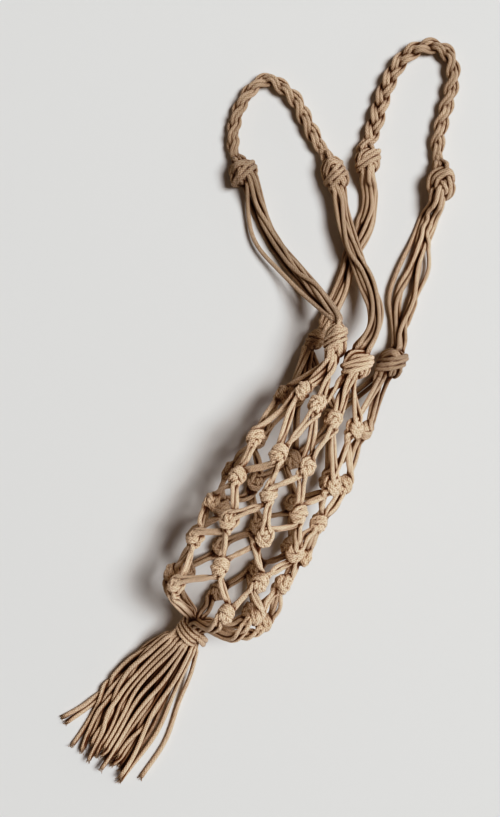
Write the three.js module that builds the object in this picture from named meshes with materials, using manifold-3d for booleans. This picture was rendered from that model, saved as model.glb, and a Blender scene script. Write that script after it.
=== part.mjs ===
// Macrame bottle holder: an open net bag knotted from doubled cords, with four corner knots,
// two braided handles and a tassel, lying on its side on a flat surface and round as when it is
// full. Millimetres. X runs along the bag from the tassel to the handles, Y to its left, Z up.
// The origin is on the floor, under the lowest knot of the fourth row.

import * as THREE from "three";
import { mergeVertices } from "three/addons/utils/BufferGeometryUtils.js";
import Module from "manifold-3d";

const wasm = await Module();
wasm.setup();

// Driving dimensions
const CORD = 4; // diameter of one cotton cord
const GAP = 0.55; // space between two pieces that meet
const FLOOR = 0; // height of the surface that the holder lies on
const STRANDS = 16; // doubled cords in the net, so 32 cords in all
const CORDS_AT_CORNER = 4; // doubled cords in each corner knot at the mouth

// Rows of net knots from the mouth to the base. The knots of a row lie on a round section of the
// given height and radius. An angle starts at the top and turns to the bag's right, and a shift
// moves its knot along the bag.
const NET_ROWS = [
  {
    x: 104, height: 38, radius: 34,
    angles: [-43, -15, 13, 45, 92, 165, 225, 268],
    shifts: [6, 1, -3, -1, 4, 0, 0, -4],
  },
  {
    x: 60, height: 45, radius: 40,
    angles: [-24, 9, 48, 88, 132, 182, 236, 293],
    shifts: [0, 1, -2, 4, 0, 0, 0, 2],
  },
  {
    x: 29, height: 46, radius: 41,
    angles: [-57, -11, 27, 65, 110, 156, 206, 256],
    shifts: [1, 2, 0, 0, 0, 0, 0, 0],
  },
  {
    x: 0, height: 46, radius: 41,
    angles: [-33, 6, 49, 90, 134, 180, 230, 275],
    shifts: [-2, 1, 2, 0, 0, 0, 0, 2],
  },
  {
    x: -29, height: 46, radius: 41,
    angles: [-66, -17, 28, 62, 112, 156, 204, 252],
    shifts: [2, -4, 0, 6, 0, 0, 0, 0],
  },
  {
    x: -60, height: 45, radius: 40,
    angles: [-54, 13, 48, 90, 134, 180, 228, 272],
    shifts: [-4, -1, 7, 2, 0, 0, 0, 0],
  },
];
const UNDERSIDE = 26; // knots this many degrees or less from straight down lie on the floor
const REST_HEIGHT = 4.2; // height of such a knot's middle
const PLAIN_BELOW = 20; // knots lower than this are hidden under the bag and have no ridges

// Rings of a net knot, from its handle end to its tassel end: half width and half thickness.
// The first and last rings are where its doubled cords part.
const RIDGED_KNOT = [
  { along: 7.4, wide: 7.2, thick: 2.1 },
  { along: 3.7, wide: 6.6, thick: 5 },
  { along: 0, wide: 6, thick: 3.7 },
  { along: -3.7, wide: 6.6, thick: 5 },
  { along: -7.4, wide: 7.2, thick: 2.1 },
];
const PLAIN_KNOT = [
  { along: 7.2, wide: 7.2, thick: 2.1 },
  { along: 3, wide: 6.6, thick: 4.7 },
  { along: -3, wide: 6.6, thick: 4.7 },
  { along: -7.2, wide: 7.2, thick: 2.1 },
];
const KNOT_SKEW = 0.12; // how much the ridges slant across a knot

// Large wrapped knots: middle, direction of the cords that pass through, length and radius
const CORNER_KNOTS = [
  { at: [155, 20.5, 52], along: [1, 0.45, -0.1], long: 25, radius: 9.5 },
  { at: [148, -2.5, 53], along: [1, 0.1, 0.05], long: 21, radius: 11 },
  { at: [165, -27.5, 11], along: [1, 0.1, 0], long: 20, radius: 11 },
  { at: [151, 35, 10], along: [1, -0.1, 0], long: 19, radius: 10 },
];
const HANDLE_KNOTS = {
  left_outer: { at: [237, 149, 9.5], along: [0.6, 0.8, 0], long: 24, radius: 10 },
  left_inner: { at: [272, 86, 11], along: [0.62, 0.78, 0], long: 28, radius: 10.5 },
  right_outer: { at: [307, 9, 10], along: [0.9, 0.42, 0], long: 28, radius: 10.5 },
  right_inner: { at: [299, 71, 9.5], along: [0.85, 0.52, 0], long: 21, radius: 10 },
};
const GATHER_KNOT = { at: [-94, 5, 26], along: [1, -0.1, 0.28], long: 19, radius: 11.5 };
const WRAP_TILT = 0.3; // radians that the wraps of a large knot lean from square
const WRAP_PROFILE = [
  { along: 0.5, reach: 0.94 },
  { along: 0.33, reach: 1 },
  { along: 0.17, reach: 0.86 },
  { along: 0, reach: 1 },
  { along: -0.17, reach: 0.86 },
  { along: -0.33, reach: 1 },
  { along: -0.5, reach: 0.94 },
];
const WRAP_SIDES = 8;
const ENTRY = 3; // how far cords run into a large knot's end

// Where the net turns in over the bag's base, and a doubled cord's size at three places
const BASE_EDGE = { x: -72, y: 1, height: 43.5, radius: 35 };
const BASE_CORDS = { wide: 2.7, thick: 2.1 };
const CORNER_CORDS = { wide: 1.5, thick: 2.8, pitch: 4.7 }; // inside a corner knot
const GATHER_CORDS = { wide: 1, thick: 2.2, ring: 7.5, turn: -84 }; // inside the gathering knot

// Loose cords from the handle knots to the corner knots: the bundle's middle between its two knots,
// and how far it opens there
const BUNDLE_COLUMNS = 4;
const BUNDLE_LAYERS = 2;
const BUNDLE_PITCH = CORD + 0.4;
const BUNDLE_CLOSED = 0.78; // opening at either knot
const BUNDLES = {
  left_outer: {
    corner: 0,
    stops: [
      { at: [222, 128, 5], open: 1 },
      { at: [206, 108, 5], open: 1.25 },
      { at: [193, 78, 10], open: 1.75 },
      { at: [182, 53, 24], open: 1.35 },
    ],
  },
  left_inner: {
    corner: 1,
    stops: [
      { at: [255, 70, 13], open: 1 },
      { at: [245, 63, 16], open: 1.1 },
      { at: [228, 45, 19], open: 1.15 },
      { at: [211, 22, 20], open: 1.2 },
      { at: [193, 5, 30], open: 1.2 },
      { at: [173, -1, 47], open: 1 },
    ],
  },
  right_outer: {
    corner: 2,
    stops: [
      { at: [284, 3, 4.6], open: 1.1 },
      { at: [266, 0, 4.6], open: 1.6 },
      { at: [243, -5, 4.6], open: 1.8 },
      { at: [213, -13, 4.6], open: 1.7 },
      { at: [190, -21, 5], open: 1.1 },
    ],
  },
  right_inner: {
    corner: 3,
    stops: [
      { at: [280, 57, 4.8], open: 1.1 },
      { at: [263, 48, 4.6], open: 1.1 },
      { at: [244, 42.5, 4.6], open: 1.2 },
      { at: [222, 42, 4.6], open: 1.2 },
      { at: [204, 37, 4.6], open: 1.3 },
      { at: [181, 34, 4.9], open: 1.1 },
    ],
  },
};
const BUNDLE_SWAY = 1.1; // how far single cords wander from their column

// Braids of three strands, by the middle of the braid on the floor
const BRAID = { period: 41, sway: 4.3, lift: 4.1, wide: 2.4, thick: 1.8, stepsPerPeriod: 9 };
const BRAID_HEIGHT = 6; // height of a braid's middle
const ROUTE_ENDS = { left: ["left_outer", "left_inner"], right: ["right_inner", "right_outer"] };
const BRAID_ROUTES = {
  left: [
    [246, 162], [257, 170], [272, 176], [287, 178], [301, 176],
    [312, 169], [312, 156], [308, 141], [298, 126], [288, 110],
  ],
  right: [
    [313, 76], [326, 78.5], [344, 83], [360, 85.5], [375, 85.5], [389, 81], [399, 71.5],
    [402, 60], [397, 50], [385, 42], [369, 37], [353, 33], [337, 28], [324, 20.5],
  ],
};

// Tassel: layers of strands from the floor up, fanned out from the gathering knot
const TASSEL_LAYERS = [
  { strands: 10, rise: -4.9, restHeight: 1.65, length: 124, turn: 0 },
  { strands: 12, rise: 0, restHeight: 5.4, length: 118, turn: 0.012 },
  { strands: 10, rise: 4.9, restHeight: 9.1, length: 112, turn: -0.01 },
];
const TASSEL_ROOT = { pitch: 1.55, wide: 0.6, thick: 2.2 };
const TASSEL_FAN = 0.53; // radians between the first and last strand of a layer
const TASSEL_TURN = 0.11; // radians from straight back to the fan's middle
const TASSEL_STRAND = { wide: 1.65, thick: 1.65 };
const TASSEL_FALL = [
  { along: 0, drop: 0, grow: 0, bow: 0 },
  { along: 14, drop: 0.04, grow: 0.1, bow: 0.2 },
  { along: 38, drop: 0.5, grow: 0.7, bow: 0.8 },
  { along: 62, drop: 1, grow: 1, bow: 1 },
];
const TASSEL_STRAY = 7; // how far the outermost strand on the right bows out
const TASSEL_UNEVEN = 6; // how much strand lengths differ

// Section outlines as shares of half width and half thickness, outer side up. The left half of a knot
// has its seam on the right, from its second point to its third, and the right half is its mirror.
const PAIR_OUTLINE = [[-0.9, -0.8], [0.9, -0.8], [1, 0.25], [0.52, 1], [0, 0.5], [-0.52, 1], [-1, 0.25]];
const PARTING_OUTLINE = [[-0.9, -0.8], [1, -0.8], [1, 0.4], [0.52, 1], [0, 0.5], [-0.52, 1], [-1, 0.25]];
const KNOT_OUTLINE = [[-0.8, -0.8], [1, -0.9], [1, 0.9], [0.5, 1], [0, 1], [-0.6, 0.85], [-1, 0.1]];
const mirrored = (outline) => [1, 0, 6, 5, 4, 3, 2].map((i) => [-outline[i][0], outline[i][1]]);
const LEFT_SEAM = 1; // the side left open between the rings of a left half
const RIGHT_SEAM = 6;
const CORD_OUTLINE = [[-0.8, -0.8], [0.8, -0.8], [0.8, 0.8], [-0.8, 0.8]];
const BRAID_OUTLINE = [[-0.6, -1], [0.6, -1], [1, 0], [0.6, 1], [-0.6, 1], [-1, 0]];
const TASSEL_OUTLINE = [[-1, -1], [1, -1], [1, 1], [-1, 1]];

const UP = new THREE.Vector3(0, 0, 1);
const vector = (values) => new THREE.Vector3(...values);

// The points of an outline round a station { at, out, wide, thick }, square to a direction
function ringAt(station, along, outline) {
  const right = along.clone().cross(station.out).normalize();
  const out = right.clone().cross(along).normalize();
  return outline.map(([a, b]) =>
    station.at.clone().addScaledVector(right, a * station.wide).addScaledVector(out, b * station.thick),
  );
}

// Adds the skin of a tube through rings of points to a mesh, with its two ends closed.
// openSides may name, for each pair of rings, one side that is left open.
function addTube(mesh, rings, outline, openSides = []) {
  const sides = outline.length;
  const first = mesh.positions.length / 3;
  const last = first + (rings.length - 1) * sides;
  rings.flat().forEach((point) => mesh.positions.push(point.x, point.y, Math.max(point.z, FLOOR)));
  for (let i = 0; i + 1 < rings.length; i++) {
    for (let k = 0; k < sides; k++) {
      if (openSides[i] === k) continue;
      const a = first + i * sides + k;
      const b = first + i * sides + ((k + 1) % sides);
      mesh.faces.push(a, b + sides, b, a, a + sides, b + sides);
    }
  }
  const contour = outline.map((p) => new THREE.Vector2(...p));
  for (const [a, b, c] of THREE.ShapeUtils.triangulateShape(contour, [])) {
    mesh.faces.push(first + a, first + b, first + c, last + a, last + c, last + b);
  }
}

function geometryOf(mesh) {
  const geometry = new THREE.BufferGeometry();
  geometry.setAttribute("position", new THREE.Float32BufferAttribute(mesh.positions, 3));
  geometry.setIndex(mesh.faces);
  return geometry;
}

// A closed solid through stations, each with the same outline
function loft(stations, outline) {
  const mesh = { positions: [], faces: [] };
  const rings = stations.map((station, i) => {
    const before = stations[Math.max(i - 1, 0)].at;
    const after = stations[Math.min(i + 1, stations.length - 1)].at;
    return ringAt(station, after.clone().sub(before).normalize(), outline);
  });
  addTube(mesh, rings, outline);
  return toSolid(geometryOf(mesh));
}

function toSolid(geometry) {
  const bare = geometry.clone();
  bare.deleteAttribute("normal");
  bare.deleteAttribute("uv");
  const merged = mergeVertices(bare, 1e-4);
  return new wasm.Manifold(
    new wasm.Mesh({
      numProp: 3,
      vertProperties: merged.getAttribute("position").array,
      triVerts: new Uint32Array(merged.index.array),
    }),
  );
}

function toGeometry(solid) {
  const made = solid.getMesh();
  const geometry = new THREE.BufferGeometry();
  geometry.setAttribute("position", new THREE.BufferAttribute(made.vertProperties, 3));
  geometry.setIndex(new THREE.BufferAttribute(made.triVerts, 1));
  geometry.computeVertexNormals();
  return geometry;
}

const joined = (solids) => solids.reduce((whole, piece) => whole.add(piece));

// A large knot: a barrel of slanting wraps about the cords that pass through it, flat on the floor
function wrappedKnot(knot, grow = 0) {
  const profile = WRAP_PROFILE.map(
    (p) => new THREE.Vector2(p.reach * knot.radius + grow, -p.along * (knot.long + 2 * grow)),
  );
  const ends = [profile[0].y, profile[profile.length - 1].y];
  const closed = [new THREE.Vector2(0, ends[0]), ...profile, new THREE.Vector2(0, ends[1])];
  const geometry = new THREE.LatheGeometry(closed, WRAP_SIDES);
  const turn = new THREE.Quaternion().setFromUnitVectors(
    new THREE.Vector3(0, 1, 0),
    vector(knot.along).normalize(),
  );
  geometry.rotateX(WRAP_TILT).applyQuaternion(turn).translate(...knot.at);
  const place = geometry.getAttribute("position");
  for (let i = 0; i < place.count; i++) place.setZ(i, Math.max(place.getZ(i), FLOOR));
  return toSolid(geometry);
}

// Middle, outward side and direction of every net knot
function netKnots() {
  const rows = NET_ROWS.map((row) =>
    row.angles.map((degrees, k) => {
      const angle = THREE.MathUtils.degToRad(degrees);
      const out = new THREE.Vector3(0, -Math.sin(angle), Math.cos(angle));
      const at = out.clone().multiplyScalar(row.radius);
      at.add(new THREE.Vector3(row.x + row.shifts[k], 0, row.height));
      if (Math.abs(degrees - 180) <= UNDERSIDE) at.z = REST_HEIGHT;
      return { at, out };
    }),
  );
  rows.forEach((row, i) => {
    row.forEach((knot, k) => {
      const above = i === 0 ? [cornerOf(2 * k), cornerOf(2 * k + 1)] : neighbours(rows[i - 1], i, k);
      const below = i + 1 === rows.length ? [baseEdge(knot.out)] : neighbours(rows[i + 1], i, k);
      knot.along = mean(above).sub(mean(below)).normalize();
      knot.side = knot.out.clone().cross(knot.along).normalize();
    });
  });
  return rows;
}

// The two knots of the next row that share a doubled cord with knot k of row i
function neighbours(row, i, k) {
  const first = i % 2 === 0 ? k - 1 : k;
  return [0, 1].map((step) => row[(first + step + row.length) % row.length].at);
}

const mean = (points) =>
  points.reduce((sum, p) => sum.add(p), new THREE.Vector3()).divideScalar(points.length);

const cornerNumber = (strand) => Math.floor(((strand + 1) % STRANDS) / CORDS_AT_CORNER);

const cornerOf = (strand) => vector(CORNER_KNOTS[cornerNumber(strand)].at);

function baseEdge(out) {
  const middle = new THREE.Vector3(BASE_EDGE.x, BASE_EDGE.y, BASE_EDGE.height);
  return middle.addScaledVector(out, BASE_EDGE.radius);
}

// Points of one ring of half a knot, on its left (side -1) or right (side 1) of the seam
function halfKnotRing(knot, side, ring, outline) {
  return outline.map(([a, b]) => {
    const across = side * ring.wide * ((1 + side * a) / 2);
    const point = knot.at.clone().addScaledVector(knot.side, across);
    point.addScaledVector(knot.out, b * ring.thick);
    return point.addScaledVector(knot.along, ring.along + KNOT_SKEW * across);
  });
}

// Adds one doubled cord of the net to a mesh, from its corner knot through half a knot in every row to
// the gathering knot. It meets one neighbour in a row and the other neighbour in the next, and the two
// halves of a knot share the points of their seam.
function addNetStrand(mesh, strand, knots) {
  const rings = [cornerRing(strand, knots)];
  const openSides = [-1];
  let side;
  let knot;
  knots.forEach((row, i) => {
    const pair = i % 2 === 0 ? strand : strand - 1 + STRANDS;
    knot = row[Math.floor(pair / 2) % row.length];
    side = pair % 2 === 0 ? 1 : -1;
    const profile = knot.at.z < PLAIN_BELOW ? PLAIN_KNOT : RIDGED_KNOT;
    profile.forEach((ring, n) => {
      const parting = n === 0 || n + 1 === profile.length;
      const left = parting ? PARTING_OUTLINE : KNOT_OUTLINE;
      rings.push(halfKnotRing(knot, side, ring, side < 0 ? left : mirrored(left)));
      openSides.push(n + 1 === profile.length ? -1 : side < 0 ? LEFT_SEAM : RIGHT_SEAM);
    });
  });
  rings.push(...gatherRings(strand, knot, side));
  addTube(mesh, rings, PAIR_OUTLINE, openSides);
}

// The ring where a doubled cord ends inside its corner knot, beside the three others
function cornerRing(strand, knots) {
  const place = (strand + 1) % CORDS_AT_CORNER;
  const own = knots[0][2 * cornerNumber(strand)];
  const offset = ((CORDS_AT_CORNER - 1) / 2 - place) * CORNER_CORDS.pitch;
  const at = cornerOf(strand).addScaledVector(own.side, offset);
  return ringAt({ ...CORNER_CORDS, at, out: own.out }, own.along.clone().negate(), PAIR_OUTLINE);
}

// The rings where a doubled cord turns over the base's edge and ends inside the gathering knot
function gatherRings(strand, knot, side) {
  const back = new THREE.Vector3(-1, 0, 0);
  const edge = baseEdge(knot.out).addScaledVector(knot.side, (side * RIDGED_KNOT[0].wide) / 2);
  const angle = THREE.MathUtils.degToRad(GATHER_CORDS.turn + (strand * 360) / STRANDS);
  const spoke = new THREE.Vector3(0, -Math.sin(angle), Math.cos(angle));
  const end = vector(GATHER_KNOT.at).addScaledVector(spoke, GATHER_CORDS.ring);
  const inward = end.clone().sub(edge).normalize();
  const turning = inward.clone().sub(knot.along).normalize();
  return [
    ringAt({ ...BASE_CORDS, at: edge, out: knot.out.clone().add(back).normalize() }, turning, PAIR_OUTLINE),
    ringAt({ ...GATHER_CORDS, at: end, out: back }, inward, PAIR_OUTLINE),
  ];
}

function netBag() {
  const knots = netKnots();
  const mesh = { positions: [], faces: [] };
  for (let strand = 0; strand < STRANDS; strand++) addNetStrand(mesh, strand, knots);
  const corners = CORNER_KNOTS.map((knot) => wrappedKnot(knot));
  return joined([toSolid(geometryOf(mesh)), ...corners]).subtract(wrappedKnot(GATHER_KNOT, GAP));
}

// A place just inside one end of a large knot: end 1 is the way its direction points, end -1 the other
function entryOf(knot, end) {
  const along = vector(knot.along).normalize();
  return vector(knot.at).addScaledVector(along, end * (knot.long / 2 - ENTRY));
}

// The loose cords between a handle knot and a corner knot, in columns and layers that open midway
function bundle(name) {
  const { corner, stops } = BUNDLES[name];
  const route = [
    { at: entryOf(HANDLE_KNOTS[name], -1), open: BUNDLE_CLOSED },
    ...stops.map((stop) => ({ at: vector(stop.at), open: stop.open })),
    { at: entryOf(CORNER_KNOTS[corner], 1), open: BUNDLE_CLOSED },
  ];
  const cords = [];
  for (let column = 0; column < BUNDLE_COLUMNS; column++) {
    for (let layer = 0; layer < BUNDLE_LAYERS; layer++) {
      const stations = route.map((stop, i) => {
        const before = route[Math.max(i - 1, 0)].at;
        const after = route[Math.min(i + 1, route.length - 1)].at;
        const right = after.clone().sub(before).cross(UP).normalize();
        const spread = (column - (BUNDLE_COLUMNS - 1) / 2 + (layer ? 0.25 : -0.25)) * stop.open;
        const sway = BUNDLE_SWAY * Math.max(stop.open - 1, 0) * Math.sin(3 * i + 5 * column + 2 * layer);
        const at = stop.at.clone().addScaledVector(right, spread * BUNDLE_PITCH + sway);
        at.z += (layer - (BUNDLE_LAYERS - 1) / 2) * BUNDLE_PITCH;
        return { at, out: UP, wide: CORD / 2, thick: CORD / 2 };
      });
      cords.push(loft(stations, CORD_OUTLINE));
    }
  }
  return cords;
}

// Three strands that weave between two handle knots along a route on the floor
function braid(side, ends) {
  const stops = BRAID_ROUTES[side].map(([x, y]) => new THREE.Vector3(x, y, BRAID_HEIGHT));
  const [first, last] = ends.map((end) => entryOf(HANDLE_KNOTS[end], 1));
  const middle = new THREE.CatmullRomCurve3([first, ...stops, last]);
  const periods = middle.getLength() / BRAID.period;
  const steps = Math.round(periods * BRAID.stepsPerPeriod);
  return [0, 1, 2].map((strand) => {
    const stations = [];
    for (let i = 0; i <= steps; i++) {
      const turn = 2 * Math.PI * ((periods * i) / steps + strand / 3);
      const right = middle.getTangentAt(i / steps).cross(UP).normalize();
      const at = middle.getPointAt(i / steps).addScaledVector(right, BRAID.sway * Math.sin(turn));
      at.z += BRAID.lift * Math.sin(2 * turn);
      stations.push({ at, out: UP, wide: BRAID.wide, thick: BRAID.thick });
    }
    return loft(stations, BRAID_OUTLINE);
  });
}

// A handle: two bundles of loose cords, two wrapped knots and the braid between them
function handle(side) {
  const ends = ROUTE_ENDS[side];
  const pieces = [...braid(side, ends), ...ends.flatMap(bundle)];
  const knots = ends.map((end) => wrappedKnot(HANDLE_KNOTS[end]));
  const clearances = CORNER_KNOTS.map((knot) => wrappedKnot(knot, GAP));
  return joined([...knots, ...pieces]).subtract(joined(clearances));
}

// One strand of the tassel, squeezed narrow at its root and lying level on the floor or on the layer below
function tasselStrand(layer, index) {
  const share = index / (layer.strands - 1) - 0.5;
  const heading = TASSEL_TURN + layer.turn + TASSEL_FAN * share;
  const length = layer.length + TASSEL_UNEVEN * Math.sin(7 * index + layer.strands);
  const rootOffset = share * TASSEL_ROOT.pitch * (layer.strands - 1);
  const root = entryOf(GATHER_KNOT, -1);
  const tip = { along: length, drop: 1, grow: 1, bow: 0 };
  const stray = layer === TASSEL_LAYERS[0] && index === 0 ? TASSEL_STRAY : 0;
  const stations = [...TASSEL_FALL, tip].map((fall) => ({
    at: new THREE.Vector3(
      root.x - fall.along * Math.cos(heading),
      root.y + rootOffset + fall.along * Math.sin(heading) - stray * fall.bow,
      THREE.MathUtils.lerp(root.z + layer.rise, layer.restHeight, fall.drop),
    ),
    out: UP,
    wide: THREE.MathUtils.lerp(TASSEL_ROOT.wide, TASSEL_STRAND.wide, fall.grow),
    thick: THREE.MathUtils.lerp(TASSEL_ROOT.thick, TASSEL_STRAND.thick, fall.grow),
  }));
  return loft(stations, TASSEL_OUTLINE);
}

function tassel() {
  const strands = TASSEL_LAYERS.flatMap((layer) =>
    Array.from({ length: layer.strands }, (_, index) => tasselStrand(layer, index)),
  );
  return joined([wrappedKnot(GATHER_KNOT), ...strands]);
}

const cotton = new THREE.MeshStandardMaterial({ color: 0xa58668, roughness: 0.95, metalness: 0 });

function node(name, solid) {
  const mesh = new THREE.Mesh(toGeometry(solid), cotton);
  mesh.name = name;
  return mesh;
}

const holder = new THREE.Group();
holder.add(node("net_bag", netBag()));
holder.add(node("handle_left", handle("left")));
holder.add(node("handle_right", handle("right")));
holder.add(node("tassel", tassel()));

export default holder;
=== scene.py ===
# Macrame holder of braided cotton cord, lying on its side: every cord is a swept tube that runs
# through real knots. Tables are in millimetres, in the frame of the solids: X along the bag from the
# tassel to the handles, Y to its left, Z up from the floor.

from math import ceil, cos, exp, hypot, pi, radians, sin

import bpy
import numpy as np
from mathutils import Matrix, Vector
from mathutils.kdtree import KDTree
from numpy.linalg import norm


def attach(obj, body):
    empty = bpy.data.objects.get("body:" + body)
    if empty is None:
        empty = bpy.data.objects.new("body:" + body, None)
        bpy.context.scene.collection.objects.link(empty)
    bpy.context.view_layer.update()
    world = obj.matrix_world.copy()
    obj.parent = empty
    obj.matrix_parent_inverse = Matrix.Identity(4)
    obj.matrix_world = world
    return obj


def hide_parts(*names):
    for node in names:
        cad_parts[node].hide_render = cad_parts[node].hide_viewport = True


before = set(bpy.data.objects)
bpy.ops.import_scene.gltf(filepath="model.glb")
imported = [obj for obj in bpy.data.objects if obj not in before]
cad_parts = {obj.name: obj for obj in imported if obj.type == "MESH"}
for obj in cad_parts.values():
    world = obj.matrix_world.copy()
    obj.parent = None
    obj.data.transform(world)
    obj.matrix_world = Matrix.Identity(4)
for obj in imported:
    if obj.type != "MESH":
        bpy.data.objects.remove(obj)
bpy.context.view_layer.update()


def table(columns, *rows):
    """Rows of values under named columns."""
    return [dict(zip(columns.split(), row)) for row in rows]


METRE = 1000
UP = np.array((0.0, 0.0, 1.0))
SEED = 11

# Camera: straight down, with the bag's axis 30 degrees from the picture's upright
PICTURE_HEIGHT_ON_FLOOR = 653.6
CAMERA_HEIGHT = 1000
CAMERA_OVER = (78, 51)
CAMERA_TURN = -60
SENSOR = 36
CLIP_END = 20  # metres

# Light, in metres and watts: one soft lamp from the picture's right, and dim light from all round
KEY_FROM = (0.605, -0.748, 1.8)
KEY_DISTANCE = 12
KEY_SIZE = 5.4
KEY_POWER = 1355
KEY_COLOUR = (1, 0.995, 0.985)
WORLD_LIGHT = 0.06
WORLD_COLOUR = (1, 0.97, 0.92, 1)
TONE_CURVES = {  # a photograph's contrast, with warm shadows, by channel: 1 green, 2 blue, 3 all
    1: [(0.02, 0.012), (0.076, 0.06), (0.16, 0.145), (0.42, 0.405), (0.74, 0.74)],
    2: [(0.015, 0.006), (0.048, 0.025), (0.12, 0.1), (0.3, 0.28), (0.5, 0.485), (0.74, 0.74)],
    3: [(0.06, 0.04), (0.3, 0.31), (0.5, 0.545), (0.72, 0.725)],
}

# Floor, in metres: flat out to the first radius, and then turned up into a low wall
FLOOR_PROFILE = [(7, 0), (8.2, 0.2), (9.2, 0.8), (9.8, 1.8), (10, 4.5)]  # radii and heights
FLOOR_SEGMENTS = 64
FLOOR_DROP = 0.0004  # below the lowest cords
FLOOR_COLOUR = (0.8, 0.805, 0.8, 1)
# painted shade: the far floor and the wall, which faces the lamp, are coloured darker
FLOOR_FAR_SHADE_COLOUR = (0.42, 0.42, 0.415, 1)
FLOOR_SHADE_FADE = (2.5, 9)  # radii between which painted shade darkens it
FLOOR_ROUGHNESS = 0.8

# Cord
RADIUS = 1.75
NET_RADIUS = 1.68  # drawn thinner by its load
KNOT_RADIUS = 2  # swollen in a knot
TASSEL_RADIUS = 1.82
SIDES = 12
LONGEST_STEP = 3.6  # between rings of a straight cord
LARGEST_TURN = 0.27  # radians, of a bent one
CUT_LENGTH = 7  # of the soiled tip of a cut cord

# Shade on the sides of cords that lie close together
CREVICE_REACH = 9
CREVICE_STEP = 2  # between points that shade others
CREVICE_NEAREST = 0.3  # least distance, in radii
CREVICE_FADING = 1.7  # power of the distance
CREVICE_START = 0.1  # fainter shade is left out
CREVICE_DEPTHS = {"net": 1.15, "handle": 0.7, "tassel": 0.95}
PRESSED_CREVICE = 0.5  # share left where cords are pressed together
CREVICE_TINT = (0.13, 0.06, 0.03, 1)

# Cotton: a plait of crossing yarns, with colours from its pits to its crests. The darker pits and grooves
# are painted shade.
PLAIT_ALONG = 0.44  # crossings to a millimetre along the cord, and round it
PLAIT_AROUND = 6.0
PLAIT_SHIFT = 40  # most that a cord's plait is moved
PIT_LIMIT = 0.75
COTTON_COLOURS = [
    (0.3, (0.24, 0.145, 0.08, 1)),
    (0.75, (0.65, 0.475, 0.336, 1)),
    (1, (0.84, 0.66, 0.5, 1)),
]
SHADES = {"base": 0.18, "plait": 0.32, "pit_shade": 0.8, "fibres": 1.3, "mottle": 0.3, "cut_end": 0.22}
FIBRES = {"Scale": 700.0, "Detail": 3.0, "Roughness": 0.7}
MOTTLE = {"Scale": 45.0, "Detail": 3.0, "Roughness": 0.6}
FIBRE_RELIEF = 0.5  # against the plait's
RELIEF = {"Strength": 0.9, "Distance": 0.0005}
ROUGHNESS = 0.95
CREST_POLISH = 0.12
SHEEN = {"Specular IOR Level": 0.25, "Sheen Weight": 0.15, "Sheen Roughness": 0.5}

# Tones: steps brighter or darker, by height, and in patches that reach so far round a place. They paint
# light and shade on the cords.
TONE_STEP = 0.045
# painted light and shade by height: the net lighter on top, where the lamp falls on it, and darker low
# down, where its lower cords lie in shade
NET_LIGHT_BY_HEIGHT = [(0, -7), (35, -3), (55, 2), (80, 3)]
# painted shade: the handles, lying low on the floor, darker than the net, and the left one darkest
HANDLE_SHADE_TONES = {"left": [(0, -3.5)], "right": [(0, -2.5)]}
# patches of painted shade and painted light: darker where cords lie in shade, such as the net's left
# flank, and lighter where they are well lit
LIGHT_AND_SHADE_PATCHES = table(
    "at reach tone",
    ((237, 149, 11), 30, -6.5),
    ((203, 95, 8), 30, -6.5),
    ((280, 172, 6), 38, -3),
    ((395, 55, 6), 34, -4),
    ((315, 12, 11), 26, -3),
    ((256, 2, 6), 36, 4),
    ((148, -2.5, 53), 18, 3),
    ((-200, 26, 5), 26, 2.5),
    ((225, 40, 18), 40, -3),
    ((165, -27.5, 12), 34, -4.5),
    ((155, 20.5, 52), 26, -2.5),
    ((98, 32, 36), 20, -4.5),
    ((40, 40, 38), 26, -4.5),
    ((-10, 41, 38), 24, -4),
    ((-55, 43, 38), 22, -4),
)

# Settling: cords keep their lengths and push each other apart, round by round
LENGTH_PASSES = 2
PAIRS_EVERY = 6  # rounds between searches
PAIRS_MARGIN = 1.2
PAIRS_SKIP = 1.25  # nearer points of one cord, in gaps, don't push each other
LEAST_SKIP = 3  # points
PUSH_SHARING = 0.45  # how far a point with many neighbours holds back
LARGEST_STRETCH = 1.05  # past this, cords are not drawn tighter

# Knots are overhand knots of several cords, tied loose and then drawn tight until the cords jam.
# Offsets are places of the cords across the bundle, in pressed cord diameters.
NET_TIE = {
    "pressed": 3,
    "offsets": [(-0.5, -0.5), (-0.5, 0.5), (0.5, -0.5), (0.5, 0.5)],
    "loose": 7, "reach": 15, "nodes": 64, "rounds": 1000, "shrink": 0.003, "bend": 0.08,
}
NET_TIE_SLOTS = [(-7.2, -0.5), (-3.8, -0.5), (3.8, 0.5), (7.2, 0.5)]  # across, and lean of the end
NET_TIE_TURNS = (0, 60)
LARGE_TIE = {
    "pressed": 3.5,
    "offsets": [
        (-1, -0.87), (0, -0.87), (1, -0.87), (-0.5, 0), (0.5, 0), (-1, 0.87), (0, 0.87), (1, 0.87),
    ],
    "loose": 10, "reach": 34, "nodes": 80, "rounds": 800, "shrink": 0.004, "bend": 0.1,
}
TIE_SPAN = 2  # the loose knot's formula runs from this to minus this
TIE_POINTS = 160
TIE_WIDTH = 0.9  # of the loose knot, and its depth
TIE_DEPTH = 1.5
TIE_LEAD = 8  # straight cord at both ends
LEAD_POINTS = 400
LEAD_SMOOTHING = {"rounds": 60, "points": 300}
SLOT_LEAD = 6
SLOT_READ = 40  # point at which the cords are put in order
SLOT_CUT = 60  # points that a parted end stands in for
NET_BODY = 9.5  # half lengths of a knot's tied part
LARGE_BODY = 19

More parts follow.
